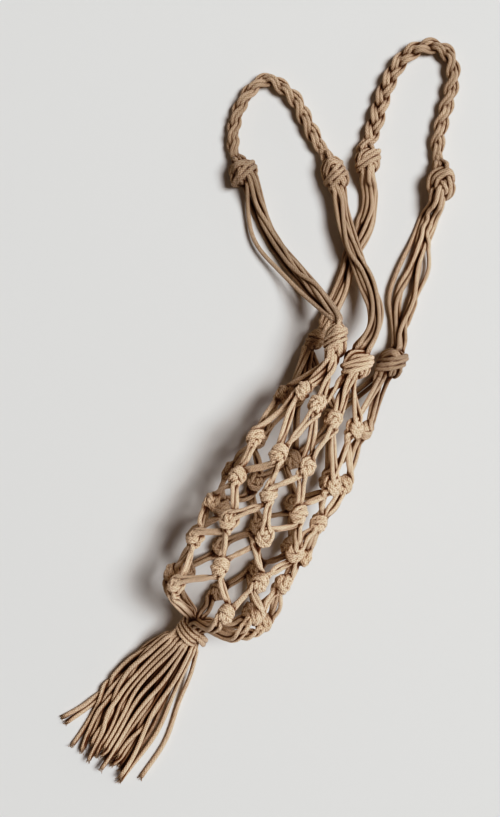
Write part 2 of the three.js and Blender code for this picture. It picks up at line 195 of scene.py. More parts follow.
# Net rows from the mouth to the base. Angles start at the top and turn to the bag's right.
NET_ROWS = table(
    "x height radius angles shifts",
    (104, 38, 34, [-43, -15, 13, 45, 92, 165, 225, 268], [6, 1, -3, -1, 4, 0, 0, -4]),
    (60, 45, 40, [-24, 9, 48, 88, 132, 182, 236, 293], [0, 1, -2, 4, 0, 0, 0, 2]),
    (29, 46, 41, [-57, -11, 27, 65, 110, 156, 206, 256], [1, 2, 0, 0, 0, 0, 0, 0]),
    (0, 46, 41, [-33, 6, 49, 90, 134, 180, 230, 275], [-2, 1, 2, 0, 0, 0, 0, 2]),
    (-29, 46, 41, [-66, -17, 28, 62, 112, 156, 204, 252], [2, -4, 0, 6, 0, 0, 0, 0]),
    (-60, 45, 40, [-54, 13, 48, 90, 134, 180, 228, 272], [-4, -1, 7, 2, 0, 0, 0, 0]),
)
STRANDS = 16  # doubled cords
UNDERSIDE = 26  # knots this near straight down lie on the floor
KNOT_REST_HEIGHT = 5.6
NET_KNOT_SIZES = (0.7, 0.8)  # against the tied knot
NET_KNOT_REACH = (5.5, 10)  # cords are fullest this near a knot, and slim past it
PAIR_PITCH = 3.7  # between the two cords of a pair
PAIR_LEAN = 0.5  # most that a pair is turned, in radians
PAIR_BOW = 1.2  # how far a pair strays from a straight line
PAIR_SHARES = (0.35, 0.65)  # of the way from knot to knot, side by side
NET_NODES = 24
NET_SETTLING = {"rounds": 80, "bend": 0.1, "fixed": 2}
BASE_EDGE = {"at": (-72, 1, 43.5), "radius": 35}
BASE_SHARE = 0.55  # of the way on, up to which pairs lie side by side

# Large knots: middle, direction of the cords that pass through, size against the tied knot across
# and along, roll about its direction, hand, and the heights and slope of its outer wraps
KNOT_COLUMNS = "at along wide tall roll hand wraps slope"
CORNER_KNOTS = table(
    KNOT_COLUMNS,
    ((155, 20.5, 52), (1, 0.45, -0.1), 0.66, 0.9, 200, 1, (5, 1, -3), 0.75),
    ((148, -2.5, 53), (1, 0.1, 0.05), 0.92, 0.72, 170, 1, (3, -1, -5), 0.75),
    ((165, -27.5, 12), (1, 0.1, 0), 0.88, 0.75, 215, 1, (3, -1, -5), 0.75),
    ((152, 33, 11), (1, -0.1, 0), 0.46, 0.52, 190, 1, (2, -2), 0.6),
)
HANDLE_ENDS = ("left_outer", "left_inner", "right_outer", "right_inner")
HANDLE_KNOTS = dict(zip(HANDLE_ENDS, table(
    KNOT_COLUMNS,
    ((237, 149, 11), (0.6, 0.8, 0), 0.95, 0.62, 165, -1, (0.5, -3.5), 0.4),
    ((272, 86, 12), (0.62, 0.78, 0), 0.78, 0.92, 205, 1, (1.5, -2.5, -6.5), 0.5),
    ((307, 9, 11.5), (0.9, 0.42, 0), 0.95, 0.9, 180, 1, (), 0),
    ((294, 68, 11), (0.85, 0.52, 0), 0.8, 0.64, 160, 1, (1.5, -2.5), 0.65),
)))
KNOT_REACH = (14, 24)
WRAP_STATIONS = 24
WRAP_REACH = 2.5  # cords this near a wrap's height carry it
WRAP_OUT = 0.5  # its middle lies this far outside theirs, in radii
WRAP_SLOPES = 0.12  # most that the slope and the bow of a wrap differ
WRAP_BOWS = 0.015
WRAP_SMOOTHING = 2

# Gathering knot: bands of cords right round it, with their heights at its left, middle and right
GATHER_KNOT = {"at": (-94, 5, 26), "along": (1, -0.1, 0.28), "long": 19, "radius": 11}
GATHER_BANDS = table("cords left middle right", (2, 5.5, 4, 1), (2, -2, -3.5, -6))
BAND_PITCH = 3.7
BAND_RADIUS = 2.1
BAND_JITTER = (-0.4, 0.5)
BAND_TUCK = {"from": 150, "to": 190, "share": 0.2}  # degrees: its ends are tucked in
BAND_STEP = 20
BAND_ROUNDING = 0.15
GATHER_RINGS = (4.6, 8)  # radii at which a pair's cords enter it
GATHER_TURN = -84
GATHER_DEPTH = 0.4  # share of its length that they run on
STUB = [(-91, 1, 33), (-93.5, -5, 31), (-95, -8, 28), (-96, -9.5, 24.5)]  # end of the gathering cords
STUB_CORDS = (0, -3.6)

# Loose cords between a handle knot and a corner knot: how far the outermost cord strays, which cords
# change places on the way, and stops with the bundle's middle and how far it opens
BUNDLES = dict(zip(HANDLE_ENDS, table(
    "corner stray crossings stops",
    (0, 9, [(1, 4), (3, 5)], [
        ((222, 128, 6), 0.85), ((206, 108, 6), 1), ((193, 78, 11), 1.25), ((182, 53, 25), 1.05),
    ]),
    (1, 0, [(1, 4), (3, 6)], [
        ((255, 70, 13), 0.95), ((245, 63, 16), 1), ((228, 45, 19), 1.1), ((211, 22, 20), 1.15),
        ((193, 5, 30), 1.15), ((173, -1, 47), 1),
    ]),
    (2, 0, [(1, 3)], [
        ((284, 3, 5.6), 1.1), ((266, 0, 5.6), 1.9), ((243, -5, 5.6), 2.4), ((213, -13, 5.6), 2),
        ((190, -21, 6), 1),
    ]),
    (3, 0, [(3, 6)], [
        ((280, 57, 5.8), 0.85), ((263, 48, 5.6), 0.85), ((244, 42.5, 5.6), 1), ((222, 42, 5.6), 1),
        ((204, 37, 5.6), 1.1), ((181, 34, 6), 0.95),
    ]),
)))
BUNDLE_NODES = 44
BUNDLE_SWAY = {"aside": 2.6, "up": 1.3}
BUNDLE_WAVES = {"aside": 2.1, "up": 1.4}  # radians from stop to stop
BUNDLE_TIGHT = 0.4  # opening at which a bundle doesn't sway
BUNDLE_SETTLING = {"rounds": 120, "bend": 0.03, "weight": 0.02, "fixed": 2, "on_floor": True}

# Braids: three strands of cords that weave along a route on the floor
BRAID_PERIOD = 44
BRAID_SWAY = {"left": (2.7, 2.8), "right": (4.1, 2.4)}  # at its two ends
BRAID_LIFT = 3.1
BRAID_TURNS = {  # how far round it has turned, in degrees, at shares of its length
    "left": [(0, 75), (0.4, 60), (0.8, 30), (1, 10)],
    "right": [(0, 0), (0.4, 5), (0.6, 50), (0.75, 50), (1, 10)],
}
BRAID_RISE = 0.8  # higher where it stands on its edge
BRAID_NARROWING = 1.2  # and thinner there
BRAID_TAPER = {"length": 14, "end": 0.4}
BRAID_STEP = 2.2
BRAID_CLEAR = 2  # steps left open beside its knots
BRAID_FINENESS = 40  # points between stops
BRAID_HEIGHT = 5.8
BRAID_STRANDS = [  # places of the cords in each strand
    [(-1.35, 0.5), (1.35, 0.5), (0, -1.3)],
    [(-1.35, 0.5), (1.35, 0.5), (0, -1.3)],
    [(-1.4, 0), (1.4, 0)],
]
ROUTE_ENDS = {"left": ("left_outer", "left_inner"), "right": ("right_inner", "right_outer")}
BRAID_ROUTES = {
    "left": [
        (246, 162), (257, 170), (272, 176), (287, 178), (301, 176), (312, 169), (312, 156), (308, 141),
        (298, 126), (288, 110),
    ],
    "right": [
        (313, 76), (326, 78.5), (344, 83), (360, 85.5), (375, 85.5), (389, 81), (399, 71.5), (402, 60),
        (397, 50), (385, 42), (369, 37), (353, 33), (337, 28), (324, 20.5),
    ],
}

# Tassel: cords fan out from the gathering knot and then run side by side. Lanes are Y near the tips.
TASSEL_LAYERS = table(
    "root rest bend lanes",
    (-5, 2, 3, (-21, -8, -3, 2, 6, 10, 15, 19, 24, 28, 31, 34, 36, 45, 53)),
    (0, 6, 4, (-14, -6, 1, 7, 13, 19, 25, 30, 33, 35)),
    (5, 10, 7, (-4, 3, 10, 18, 25, 30, 34)),
)
TASSEL_START = 5  # inside the knot's lower end
TASSEL_ROOT = 8  # half width of the layers there
TASSEL_ROUNDING = 0.4  # how far their sides come together
TASSEL_JITTER = 1.3
TASSEL_SPREAD = {"length": 34, "power": 1.3}  # how soon the cords reach their lanes
TASSEL_LENGTHS = (110, 130)
TASSEL_FALL = [(0, 0), (10, 0.05), (34, 0.55), (60, 1)]  # share of the way down, along a cord
TASSEL_WANDER = {"sway": 2.8, "waves": (50, 95), "full": 45}
TURN_OUT = {"lane": 36, "from": 0.66, "over": 0.34, "power": 1.2, "shorter": 0.5}  # past this lane
LONG_SIDE = {"lane": -10, "longer": 0.9}  # cords past this lane are longer
TASSEL_STATIONS = 11
TASSEL_NODES = 46
TASSEL_SETTLING = {
    "rounds": 110, "bend": 0.2, "weight": 0.02, "fixed": 4, "on_floor": True, "both_ends": False,
}
FRAY = {
    "fibres": 9, "radius": 0.22, "sides": 4, "lengths": (1.6, 3.6), "spread": 0.55,
    "jitter": (-0.3, 0.3), "ring": (0.4, 1), "leans": (-0.2, 1),
}

chance = np.random.default_rng(SEED)


def unit(vector):
    vector = np.asarray(vector, float)
    return vector / norm(vector)


def sideways(heads):
    """Level directions to the right of the given ones."""
    rights = np.cross(heads, UP)
    return rights / norm(rights, axis=1)[:, None]


def steps_along(path):
    """Lengths of a path's steps."""
    return norm(np.diff(path, axis=0), axis=1)


def lengths_along(path):
    """How far along a path its points are."""
    return np.concatenate(([0], np.cumsum(steps_along(path))))


def read_at(path, measure, places):
    """Points of a path where a measure along it has the given values."""
    return np.column_stack([np.interp(places, measure, path[:, axis]) for axis in range(3)])


def resampled(path, count):
    """The same path as evenly spaced points."""
    lengths = lengths_along(path)
    return read_at(path, lengths, np.linspace(0, lengths[-1], count))


def smooth(points, per_span=14):
    """Points along a centripetal Catmull-Rom curve through the given points."""
    points = np.asarray(points, float)
    points = points[np.concatenate(([True], steps_along(points) > 1e-6))]
    ends = (2 * points[0] - points[1], 2 * points[-1] - points[-2])
    p = np.vstack((ends[0], points, ends[1]))
    t = np.concatenate(([0], np.cumsum(np.sqrt(steps_along(p)))))
    pieces = []
    for i in range(1, len(p) - 2):
        u = np.linspace(t[i], t[i + 1], per_span, endpoint=False)[:, None]

        def mix(a, b, at, to):
            return a * (t[to] - u) / (t[to] - t[at]) + b * (u - t[at]) / (t[to] - t[at])

        a = [mix(p[k], p[k + 1], k, k + 1) for k in (i - 1, i, i + 1)]
        b = [mix(a[k], a[k + 1], i + k - 1, i + k + 1) for k in (0, 1)]
        pieces.append(mix(*b, i, i + 1))
    return np.vstack((*pieces, p[-2]))


def thinned(points):
    """Fewer points along a fine path: closer together where it bends."""
    steps = np.diff(points, axis=0)
    lengths = norm(steps, axis=1)
    heads = steps / lengths[:, None]
    bends = np.arccos(np.clip(np.sum(heads[1:] * heads[:-1], axis=1), -1, 1))
    bends = np.concatenate(([0], bends)) / 2 + np.concatenate((bends, [0])) / 2
    cost = np.concatenate(([0], np.cumsum(lengths / LONGEST_STEP + bends / LARGEST_TURN)))
    return read_at(points, cost, np.linspace(0, cost[-1], max(3, ceil(cost[-1])) + 1))


def frames_along(path, side=None):
    """Two directions square to a path at each of its points, which turn as little as they can."""
    heads = np.gradient(path, axis=0)
    heads /= norm(heads, axis=1)[:, None]
    if side is None:
        side = np.cross(heads[0], UP if abs(heads[0][2]) < 0.9 else (1, 0, 0))
    side = np.array(side, float)
    sides = []
    for head in heads:
        side = unit(side - head * side.dot(head))
        sides.append(side)
    sides = np.array(sides)
    return sides, np.cross(sides, heads)


def fullness(path, knots, reach):
    """How near the points of a path are to the knots: 1 inside them, 0 past their reach."""
    middles = np.array([knot["at"] for knot in knots])
    distance = norm(path[:, None] - middles, axis=2).min(axis=1)
    return np.interp(distance, reach, (1, 0))


def light_and_shade_along(path):
    """Tone of painted light and shade that the patches add at each point of a path."""
    tone = np.zeros(len(path))
    for patch in LIGHT_AND_SHADE_PATCHES:
        distance = norm(path - patch["at"], axis=1)
        tone += patch["tone"] * np.exp(-((distance / patch["reach"]) ** 2))
    return tone


class Nearby:
    """Finds how far the points of a cord's surface face into the cords beside it."""

    def __init__(self, paths):
        counts = [max(2, round(steps_along(path).sum() / CREVICE_STEP)) for path in paths]
        self.points = np.vstack([resampled(path, count) for path, count in zip(paths, counts)])
        self.tree = KDTree(len(self.points))
        for index, point in enumerate(self.points):
            self.tree.insert(point, index)
        self.tree.balance()

    def crevices(self, path, ring, radius):
        """Shade at the points of a tube, from its rings' outward directions and radii."""
        result = np.zeros(ring.shape[:2])
        for i, middle in enumerate(path):
            found = [index for _, index, _ in self.tree.find_range(middle, CREVICE_REACH)]
            room = np.clip(norm(self.points[found] - middle, axis=1) / radius[i] - 1, 0, 1)
            depth = PRESSED_CREVICE + (1 - PRESSED_CREVICE) * room
            step = self.points[found][None] - (middle + radius[i] * ring[i])[:, None]
            distance = np.maximum(norm(step, axis=2), CREVICE_NEAREST * radius[i])
            facing = np.clip(np.sum(step * ring[i][:, None], axis=2) / distance, 0, 1)
            fading = np.minimum(1, (radius[i] / distance) ** CREVICE_FADING)
            result[i] = np.sum(depth * facing * fading, axis=1)
        return result


class Cords:
    """Tubes gathered into one mesh object."""

    def __init__(self, crevice_depth, tones=((0, 0),)):
        self.crevice_depth = crevice_depth
        self.tones_by_height = list(zip(*tones))
        self.paths, self.rings, self.points, self.faces = [], [], [], []
        self.uvs, self.tones, self.ends = [], [], []
        self.count = 0

    def add(self, control, slim=RADIUS, cut_end=False, sides=SIDES, swells=()):
        """Adds a tube along a curve through the control points, fuller in the knots of the swells."""
        path = thinned(smooth(control))
        full = np.max([np.zeros(len(path)), *(fullness(path, *swell) for swell in swells)], axis=0)
        radius = slim + (KNOT_RADIUS - slim) * full
        path[:, 2] = np.maximum(path[:, 2], radius)
        across, outward = frames_along(path)
        around = (np.arange(sides) * 2 * pi / sides)[:, None]
        ring = np.cos(around) * across[:, None] + np.sin(around) * outward[:, None]
        lengths = lengths_along(path)
        self.paths.append(path)
        self.rings.append((ring, radius))
        self.points.append((path[:, None] + radius[:, None, None] * ring).reshape(-1, 3))
        self.add_faces(len(path), sides, chance.uniform(0, PLAIT_SHIFT) + lengths)
        # tone: painted light and shade by height and in patches, plus a random step for each cord
        tone = np.interp(path[:, 2], *self.tones_by_height) + chance.normal() + light_and_shade_along(path)
        self.tones.append(np.repeat(tone, sides))
        tip = np.clip(1 - (lengths[-1] - lengths) / CUT_LENGTH, 0, 1)
        self.ends.append(np.repeat(tip if cut_end else np.zeros(len(path)), sides))
        self.count += len(path) * sides

    def add_faces(self, rings, sides, u):
        """Adds a tube's faces and their places on the plait, with its rings at u."""
        rows, columns = (grid.ravel() for grid in np.mgrid[:rings - 1, :sides])
        corners = ((0, 0), (1, 0), (1, 1), (0, 1))  # steps along and round
        quads = [self.count + (rows + r) * sides + (columns + c) % sides for r, c in corners]
        places = [np.column_stack((u[rows + r], (columns + c) / sides)) for r, c in corners]
        self.faces.extend(np.column_stack(quads).tolist())
        self.uvs.append(np.stack(places, axis=1).reshape(-1, 2))
        rim = np.arange(sides) + self.count
        for cap, at in ((rim, u[0]), (rim[::-1] + (rings - 1) * sides, u[-1])):
            self.faces.append(cap.tolist())
            self.uvs.append(np.column_stack((np.full(sides, at), np.linspace(0, 1, sides))))

    def made(self, name, node, material, nearby):
        """Makes the object, which takes the place of a node of the solids."""
        crevices = []
        for path, (ring, radius) in zip(self.paths, self.rings):
            shade = self.crevice_depth * nearby.crevices(path, ring, radius) - CREVICE_START
            crevices.append(np.clip(shade, 0, 1).ravel())
        mesh = bpy.data.meshes.new(name)
        mesh.from_pydata(np.vstack(self.points) / METRE, [], self.faces)
        mesh.polygons.foreach_set("use_smooth", np.ones(len(mesh.polygons), bool))
        mesh.uv_layers.new(name="cord").data.foreach_set("uv", np.vstack(self.uvs).ravel())
        for label, values in (("tone", self.tones), ("cut_end", self.ends), ("crevice", crevices)):
            mesh.attributes.new(label, "FLOAT", "POINT").data.foreach_set("value", np.concatenate(values))
        mesh.materials.append(material)
        piece = new_object(name, mesh)
        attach(piece, "root")
        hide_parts(node)


def near_pairs(points, reach, nodes, skip):
    """Pairs of points that are closer than reach, but not neighbours on one cord."""
    square = np.sum(points**2, axis=1)
    gaps = square[:, None] + square[None, :] - 2 * points @ points.T
    first, second = np.nonzero(np.triu(gaps < reach * reach, 1))
    apart = (first // nodes != second // nodes) | (second - first > skip)
    return first[apart], second[apart]


def relaxed(cords, gap, rounds, bend, shrink=0, weight=0, fixed=1, on_floor=False, both_ends=True):
    """Cords of equal point counts, pushed apart where they overlap and kept to their lengths.

    With shrink they are drawn tight, and with weight they sink."""
    cords = np.array(cords, float)
    count, nodes, _ = cords.shape
    home = cords.copy()
    rest = norm(np.diff(cords, axis=1), axis=2).mean(axis=1)[:, None, None]
    free = np.ones((count, nodes, 1))
    free[:, :fixed] = 0
    if both_ends:
        free[:, -fixed:] = 0
    for turn in range(rounds):
        cords[..., 2:] -= weight * free
        for _ in range(LENGTH_PASSES):
            for start in (0, 1):
                spans = (nodes - start) // 2
                near = cords[:, start:start + 2 * spans:2]
                far = cords[:, start + 1:start + 1 + 2 * spans:2]
                step = far - near
                length = np.maximum(norm(step, axis=2, keepdims=True), 1e-9)
                move = 0.5 * step * (1 - rest / length)
                near += move
                far -= move
            cords = np.where(free > 0, cords, home)
        cords[:, 1:-1] += bend * ((cords[:, :-2] + cords[:, 2:]) / 2 - cords[:, 1:-1]) * free[:, 1:-1]
        points = cords.reshape(-1, 3)
        if turn % PAIRS_EVERY == 0:
            skip = max(LEAST_SKIP, ceil(PAIRS_SKIP * gap / rest.min()))
            first, second = near_pairs(points, gap + PAIRS_MARGIN, nodes, skip)
        step = points[first] - points[second]
        length = np.maximum(norm(step, axis=1), 1e-6)
        depth = np.maximum(gap - length, 0)
        move = step * (0.5 * depth / length)[:, None]
        size = len(points)
        hits = np.bincount(first, depth > 0, size) + np.bincount(second, depth > 0, size)
        ease = free.reshape(-1) / np.maximum(1, PUSH_SHARING * hits)
        for axis in range(3):
            push = np.bincount(first, move[:, axis], size) - np.bincount(second, move[:, axis], size)
            points[:, axis] += push * ease
        cords = points.reshape(count, nodes, 3)
        if on_floor:
            cords[..., 2] = np.maximum(cords[..., 2], RADIUS)
        stretch = norm(np.diff(cords, axis=1), axis=2).mean() / rest.mean()
        if shrink and stretch < LARGEST_STRETCH:
            rest = rest * (1 - shrink)
    return cords


def tied(tie, turn=0, slots=None):
    """An overhand knot of several cords: one path each, from its top to its bottom, as (across, along,
    outward). Slots part the ends to left and right."""
    t = np.linspace(TIE_SPAN, -TIE_SPAN, TIE_POINTS)
    loop = (t**4 - 4 * t**2) * tie["loose"] * TIE_WIDTH
    depth = (t**5 / 5 - 2 * t) * tie["loose"] * TIE_DEPTH
    turn = radians(turn)
    body = np.column_stack((
        loop * cos(turn) - depth * sin(turn),
        (t**3 - 3 * t) * tie["loose"],
        loop * sin(turn) + depth * cos(turn),
    ))
    body -= body.mean(axis=0)
    reach = tie["reach"]
    top = np.array([(0, reach + TIE_LEAD, 0), (0, reach, 0)])
    lead = np.vstack((top, body, -top[::-1]))
    for _ in range(0 if slots else LEAD_SMOOTHING["rounds"]):
        lead = resampled(lead, LEAD_SMOOTHING["points"])
        lead[1:-1] = (lead[1:-1] * 2 + lead[:-2] + lead[2:]) / 4
    lead = resampled(lead, LEAD_POINTS)
    sides, outs = frames_along(lead, (1, 0, 0))
    pressed = tie["pressed"]
    cords = [lead + pressed * (a * sides + b * outs) for a, b in tie["offsets"]]
    if slots:
        marks = np.array([cord[SLOT_READ] for cord in cords])
        order = np.lexsort((marks[:, 2], np.round(marks[:, 0] / pressed)))
        parted = []
        for (across, lean), index in zip(slots, order):
            end = np.array([(across + SLOT_LEAD * lean, reach + SLOT_LEAD, 0), (across, reach, 0)])
            parted.append(np.vstack((end, cords[index][SLOT_CUT:-SLOT_CUT], end[::-1] * (1, -1, 1))))
        cords = parted
    cords = [resampled(cord, tie["nodes"]) for cord in cords]
    return relaxed(cords, pressed, tie["rounds"], tie["bend"], tie["shrink"])


def net_ties():
    """Looks of the net knot: each tie, also from behind and mirrored."""
    looks = []
    for turn in NET_TIE_TURNS:
        tie = tied(NET_TIE, turn, NET_TIE_SLOTS)
        for outward in (1, -1):
            for across in (outward, -outward):
                looks.append((tie * (across, 1, outward))[::across])
    return looks


def trimmed(course, half):
    """The part of a cord that lies between two heights in its knot."""
    inside = np.nonzero(np.abs(course[:, 1]) < half)[0]
    return course[inside[0]:inside[-1] + 1]


def knot_axes(knot):
    """A knot's middle, and its directions along, to the right and outward."""
    along = unit(knot["along"])
    right = unit(np.cross(along, UP))
    return np.array(knot["at"], float), along, right, np.cross(right, along)


def large_knot(tie, knot):
    """The cords of a large knot in place, each from its handle end to its other end."""
    at, along, right, out = knot_axes(knot)
    roll = radians(knot["roll"])
    cords = []
    for course in tie:
        course = trimmed(course, LARGE_BODY) * (knot["hand"], 1, 1)
        x = (course[:, 0] * cos(roll) - course[:, 2] * sin(roll)) * knot["wide"]
        z = (course[:, 0] * sin(roll) + course[:, 2] * cos(roll)) * knot["wide"]
        y = course[:, 1] * knot["tall"]
        cords.append(at + x[:, None] * right + y[:, None] * along + z[:, None] * out)
    return cords


def outer_wraps(knot, courses):
    """Cords drawn tight round a large knot's body."""
    at, along, right, out = knot_axes(knot)
    points = np.vstack(courses) - at
    x, y, z = points @ right, points @ along, points @ out
    turns = np.linspace(pi, 3 * pi, WRAP_STATIONS, endpoint=False)
    normals = np.column_stack((np.sin(turns), np.cos(turns)))
    tangents = np.column_stack((np.cos(turns), -np.sin(turns)))
    wraps = []
    for height in knot["wraps"]:
        slope = knot["slope"] + chance.uniform(-WRAP_SLOPES, WRAP_SLOPES)
        near = np.abs(y - height - slope * x) < WRAP_REACH
        reach = (np.column_stack((x, z))[near] @ normals.T).max(axis=0) + WRAP_OUT * KNOT_RADIUS
        change = (np.roll(reach, -1) - np.roll(reach, 1)) / (2 * (turns[1] - turns[0]))
        ring = reach[:, None] * normals + change[:, None] * tangents
        for _ in range(WRAP_SMOOTHING):
            ring = (2 * ring + np.roll(ring, 1, axis=0) + np.roll(ring, -1, axis=0)) / 4
        rise = height + slope * ring[:, 0] + chance.uniform(-WRAP_BOWS, WRAP_BOWS) * ring[:, 0] ** 2
        stations = at + ring[:, :1] * right + ring[:, 1:] * out + rise[:, None] * along
        wraps.append(np.vstack((stations, stations[:2])))
    return wraps


def ranked(points, *directions):
    """Indices of points in order along the first direction, and within each two along the second."""
    points = np.array(points)
    order = np.argsort(points @ directions[0])
    if len(directions) > 1:
        pairs = [order[i:i + 2] for i in range(0, len(order), 2)]
        order = np.concatenate([pair[np.argsort(points[pair] @ directions[1])] for pair in pairs])
    return order


def add_bands(cords, knot, bands):
    """Bands of cords that go right round a knot."""
    at, along, right, out = knot_axes(knot)
    first, last = BAND_TUCK["from"], BAND_TUCK["to"]
    for band in bands:
        level = (band["left"] + band["right"]) / 2
        fall = band["right"] - band["left"]
        pitch = BAND_PITCH * hypot(1, fall / (2 * knot["radius"]))
        for number in range(band["cords"]):
            shift = (number - (band["cords"] - 1) / 2) * pitch
            reach = knot["radius"] - BAND_RADIUS + chance.uniform(*BAND_JITTER)
            stations = []
            for degrees in range(-last, last + 1, BAND_STEP):
                turn = radians(degrees)
                bow = (band["middle"] - level) * cos(turn) ** 2 * (abs(degrees) <= 90)
                height = level + sin(turn) * fall / 2 + bow + shift
                tuck = 1 - BAND_TUCK["share"] * max(0, (abs(degrees) - first) / (last - first))
                swell = reach * tuck * (1 - BAND_ROUNDING * (2 * height / knot["long"]) ** 2)
                stations.append(at + along * height + swell * (sin(turn) * right + cos(turn) * out))
            cords.add(stations, BAND_RADIUS)


def net_knots():
    """Rows of the net's knots, each with its place, directions, size and look."""
    rows = []
    for row in NET_ROWS:
        knots = []
        for degrees, shift in zip(row["angles"], row["shifts"]):
            angle = radians(degrees)
            out = np.array((0, -sin(angle), cos(angle)))
            at = np.array((row["x"] + shift, 0, row["height"])) + row["radius"] * out
            if abs(degrees - 180) <= UNDERSIDE:
                at[2] = KNOT_REST_HEIGHT
            knots.append({"at": at, "out": out})
        rows.append(knots)
    for i, row in enumerate(rows):
        for k, knot in enumerate(row):
            if i == 0:
                above = [CORNER_KNOTS[corner_of(2 * k + side)]["at"] for side in (0, 1)]
            else:
                above = neighbours(rows[i - 1], i, k)
            below = neighbours(rows[i + 1], i, k) if i + 1 < len(rows) else [base_edge(knot["out"])]
            along = unit(np.mean(above, axis=0) - np.mean(below, axis=0))
            knot["right"] = unit(np.cross(along, knot["out"]))
            knot["out"] = np.cross(knot["right"], along)
            knot["along"] = along
            knot["size"] = chance.uniform(*NET_KNOT_SIZES)
            knot["look"] = int(chance.integers(4 * len(NET_TIE_TURNS)))
    return rows


def neighbours(row, i, k):
    """Places of the two knots in a row beside row i that share cords with its knot k."""
    first = k - 1 if i % 2 == 0 else k
    return [row[(first + step) % len(row)]["at"] for step in (0, 1)]


def corner_of(strand):
    """The corner knot that a strand comes from."""
    return (strand + 1) % STRANDS // (STRANDS // len(CORNER_KNOTS))


def base_edge(out):
    """Where the net turns in below its last row."""
    return np.array(BASE_EDGE["at"]) + BASE_EDGE["radius"] * out


def knot_points(knot, looks, slot):
    """Where one of a net knot's four cords runs."""
    course = trimmed(looks[knot["look"]][slot], NET_BODY) * knot["size"]
    return [knot["at"] + x * knot["right"] + y * knot["along"] + z * knot["out"] for x, y, z in course]


def drawn_together(above, below, cord, out, lean, bow):
    """Points of one cord between two knots, where the two cords of its pair lie side by side."""
    starts = np.array([course[-1] for course in above])
    ends = np.array([course[0] for course in below])
    apart = unit(starts[1] - starts[0] + ends[1] - ends[0])
    apart = cos(lean) * apart + sin(lean) * out
    shift = apart * ((cord - 0.5) * PAIR_PITCH + bow[0]) + out * bow[1]
    begin, end = starts.mean(axis=0), ends.mean(axis=0)
    return [begin + (end - begin) * share + shift for share in PAIR_SHARES]


def net_strand(strand, rows, looks, corners):
    """The two cords of one strand, each as its points in the corner knot, in the rows and from the base's
    edge to the gathering knot."""
    corner = corner_of(strand)
    fan = rows[0][2 * corner]
    ends = [course[-1] for course in corners[corner]]
    order = ranked(ends, fan["right"], fan["out"])
    at, along, right, out = knot_axes(GATHER_KNOT)
    leans = chance.uniform(-PAIR_LEAN, PAIR_LEAN, len(rows))
    bows = chance.normal(0, PAIR_BOW, (len(rows), 2))
    courses = []
    for i, row in enumerate(rows):
        pair = strand if i % 2 == 0 else (strand - 1) % STRANDS
        knot = row[pair // 2]
        courses.append([knot_points(knot, looks, pair % 2 * 2 + cord) for cord in (0, 1)])
    side = pair % 2 - 0.5
    bunch = base_edge(knot["out"])
    heading = radians(GATHER_TURN + (pair + 1) * 360 / STRANDS)
    spoke = sin(heading) * right + cos(heading) * out
    runs = []
    for cord in (0, 1):
        points = []
        for i, course in enumerate(courses):
            if i > 0:
                points.extend(drawn_together(courses[i - 1], course, cord, knot["out"], leans[i], bows[i]))
            points.extend(course[cord])
        goal = at + along * GATHER_KNOT["long"] / 2 + spoke * GATHER_RINGS[cord]
        beside = 2 * NET_RADIUS * (side * knot["right"] + (cord - 0.5) * knot["out"])
        base = [bunch + beside, bunch + BASE_SHARE * (goal - bunch) + beside, goal]
        base.append(goal - along * GATHER_KNOT["long"] * GATHER_DEPTH)
        runs.append((corners[corner][order[(strand + 1) % 4 * 2 + cord]], points, base))
    return runs


def net_paths(rows, looks, corners):
    """Paths of all the net's cords, kept from running into each other at the mouth and at the base."""
    runs = [run for strand in range(STRANDS) for run in net_strand(strand, rows, looks, corners)]
    tops = [resampled(smooth([*top[-2:], *net[:2]]), NET_NODES) for top, net, _ in runs]
    bases = [resampled(smooth([*net[-2:], *base]), NET_NODES) for _, net, base in runs]
    tops = relaxed(tops, 2 * NET_RADIUS, **NET_SETTLING)
    bases = relaxed(bases, 2 * NET_RADIUS, **NET_SETTLING)
    return [
        np.vstack((top[:-2], upper, net[2:-2], lower))
        for (top, net, _), upper, lower in zip(runs, tops, bases)
    ]


def bundle_route(name):
    """Middle, opening and sideways direction at each stop, from the handle knot to the corner knot."""
    bundle = BUNDLES[name]
    stops, openings = zip(*bundle["stops"])
    ends = (HANDLE_KNOTS[name]["at"], CORNER_KNOTS[bundle["corner"]]["at"])
    middles = np.array([ends[0], *stops, ends[1]], float)
    return middles, [1, *openings, 1], sideways(np.gradient(middles, axis=0))


def bundle_cords(name, handle_knot, corner_knot):
    """The loose cords from a handle knot's lower end to a corner knot, in the handle knot's order."""
    middles, openings, rights = bundle_route(name)
    from_points = np.array([course[-1] for course in handle_knot])
    to_points = np.array([course[0] for course in corner_knot])
    starts = ranked(from_points, rights[0], UP)
    finishes = ranked(to_points, rights[-1], UP)
    for one, other in BUNDLES[name]["crossings"]:
        finishes[[one, other]] = finishes[[other, one]]
    paths = [None] * len(starts)
    for slot, (start, finish) in enumerate(zip(starts, finishes)):
        from_offset = from_points[start] - from_points.mean(axis=0)
        to_offset = to_points[finish] - to_points.mean(axis=0)
        phase = chance.uniform(0, 2 * pi, 2)
        stray = BUNDLES[name]["stray"] if slot == len(starts) - 1 else 0
        points = [handle_knot[start][-2], from_points[start]]
        for i in range(1, len(middles) - 1):
            share = i / (len(middles) - 1)
            across = (1 - share) * from_offset @ rights[0] + share * to_offset @ rights[-1]
            height = (1 - share) * from_offset[2] + share * to_offset[2]
            slack = BUNDLE_SWAY["aside"] * (openings[i] - BUNDLE_TIGHT)
            sway = slack * sin(BUNDLE_WAVES["aside"] * i + phase[0])
            bow = stray * sin(pi * share)
            rise = height + BUNDLE_SWAY["up"] * sin(BUNDLE_WAVES["up"] * i + phase[1])
            points.append(middles[i] + rights[i] * (across * openings[i] + sway + bow) + UP * rise)
        points.extend((to_points[finish], corner_knot[finish][1]))
        paths[start] = resampled(smooth(points), BUNDLE_NODES)
    return paths


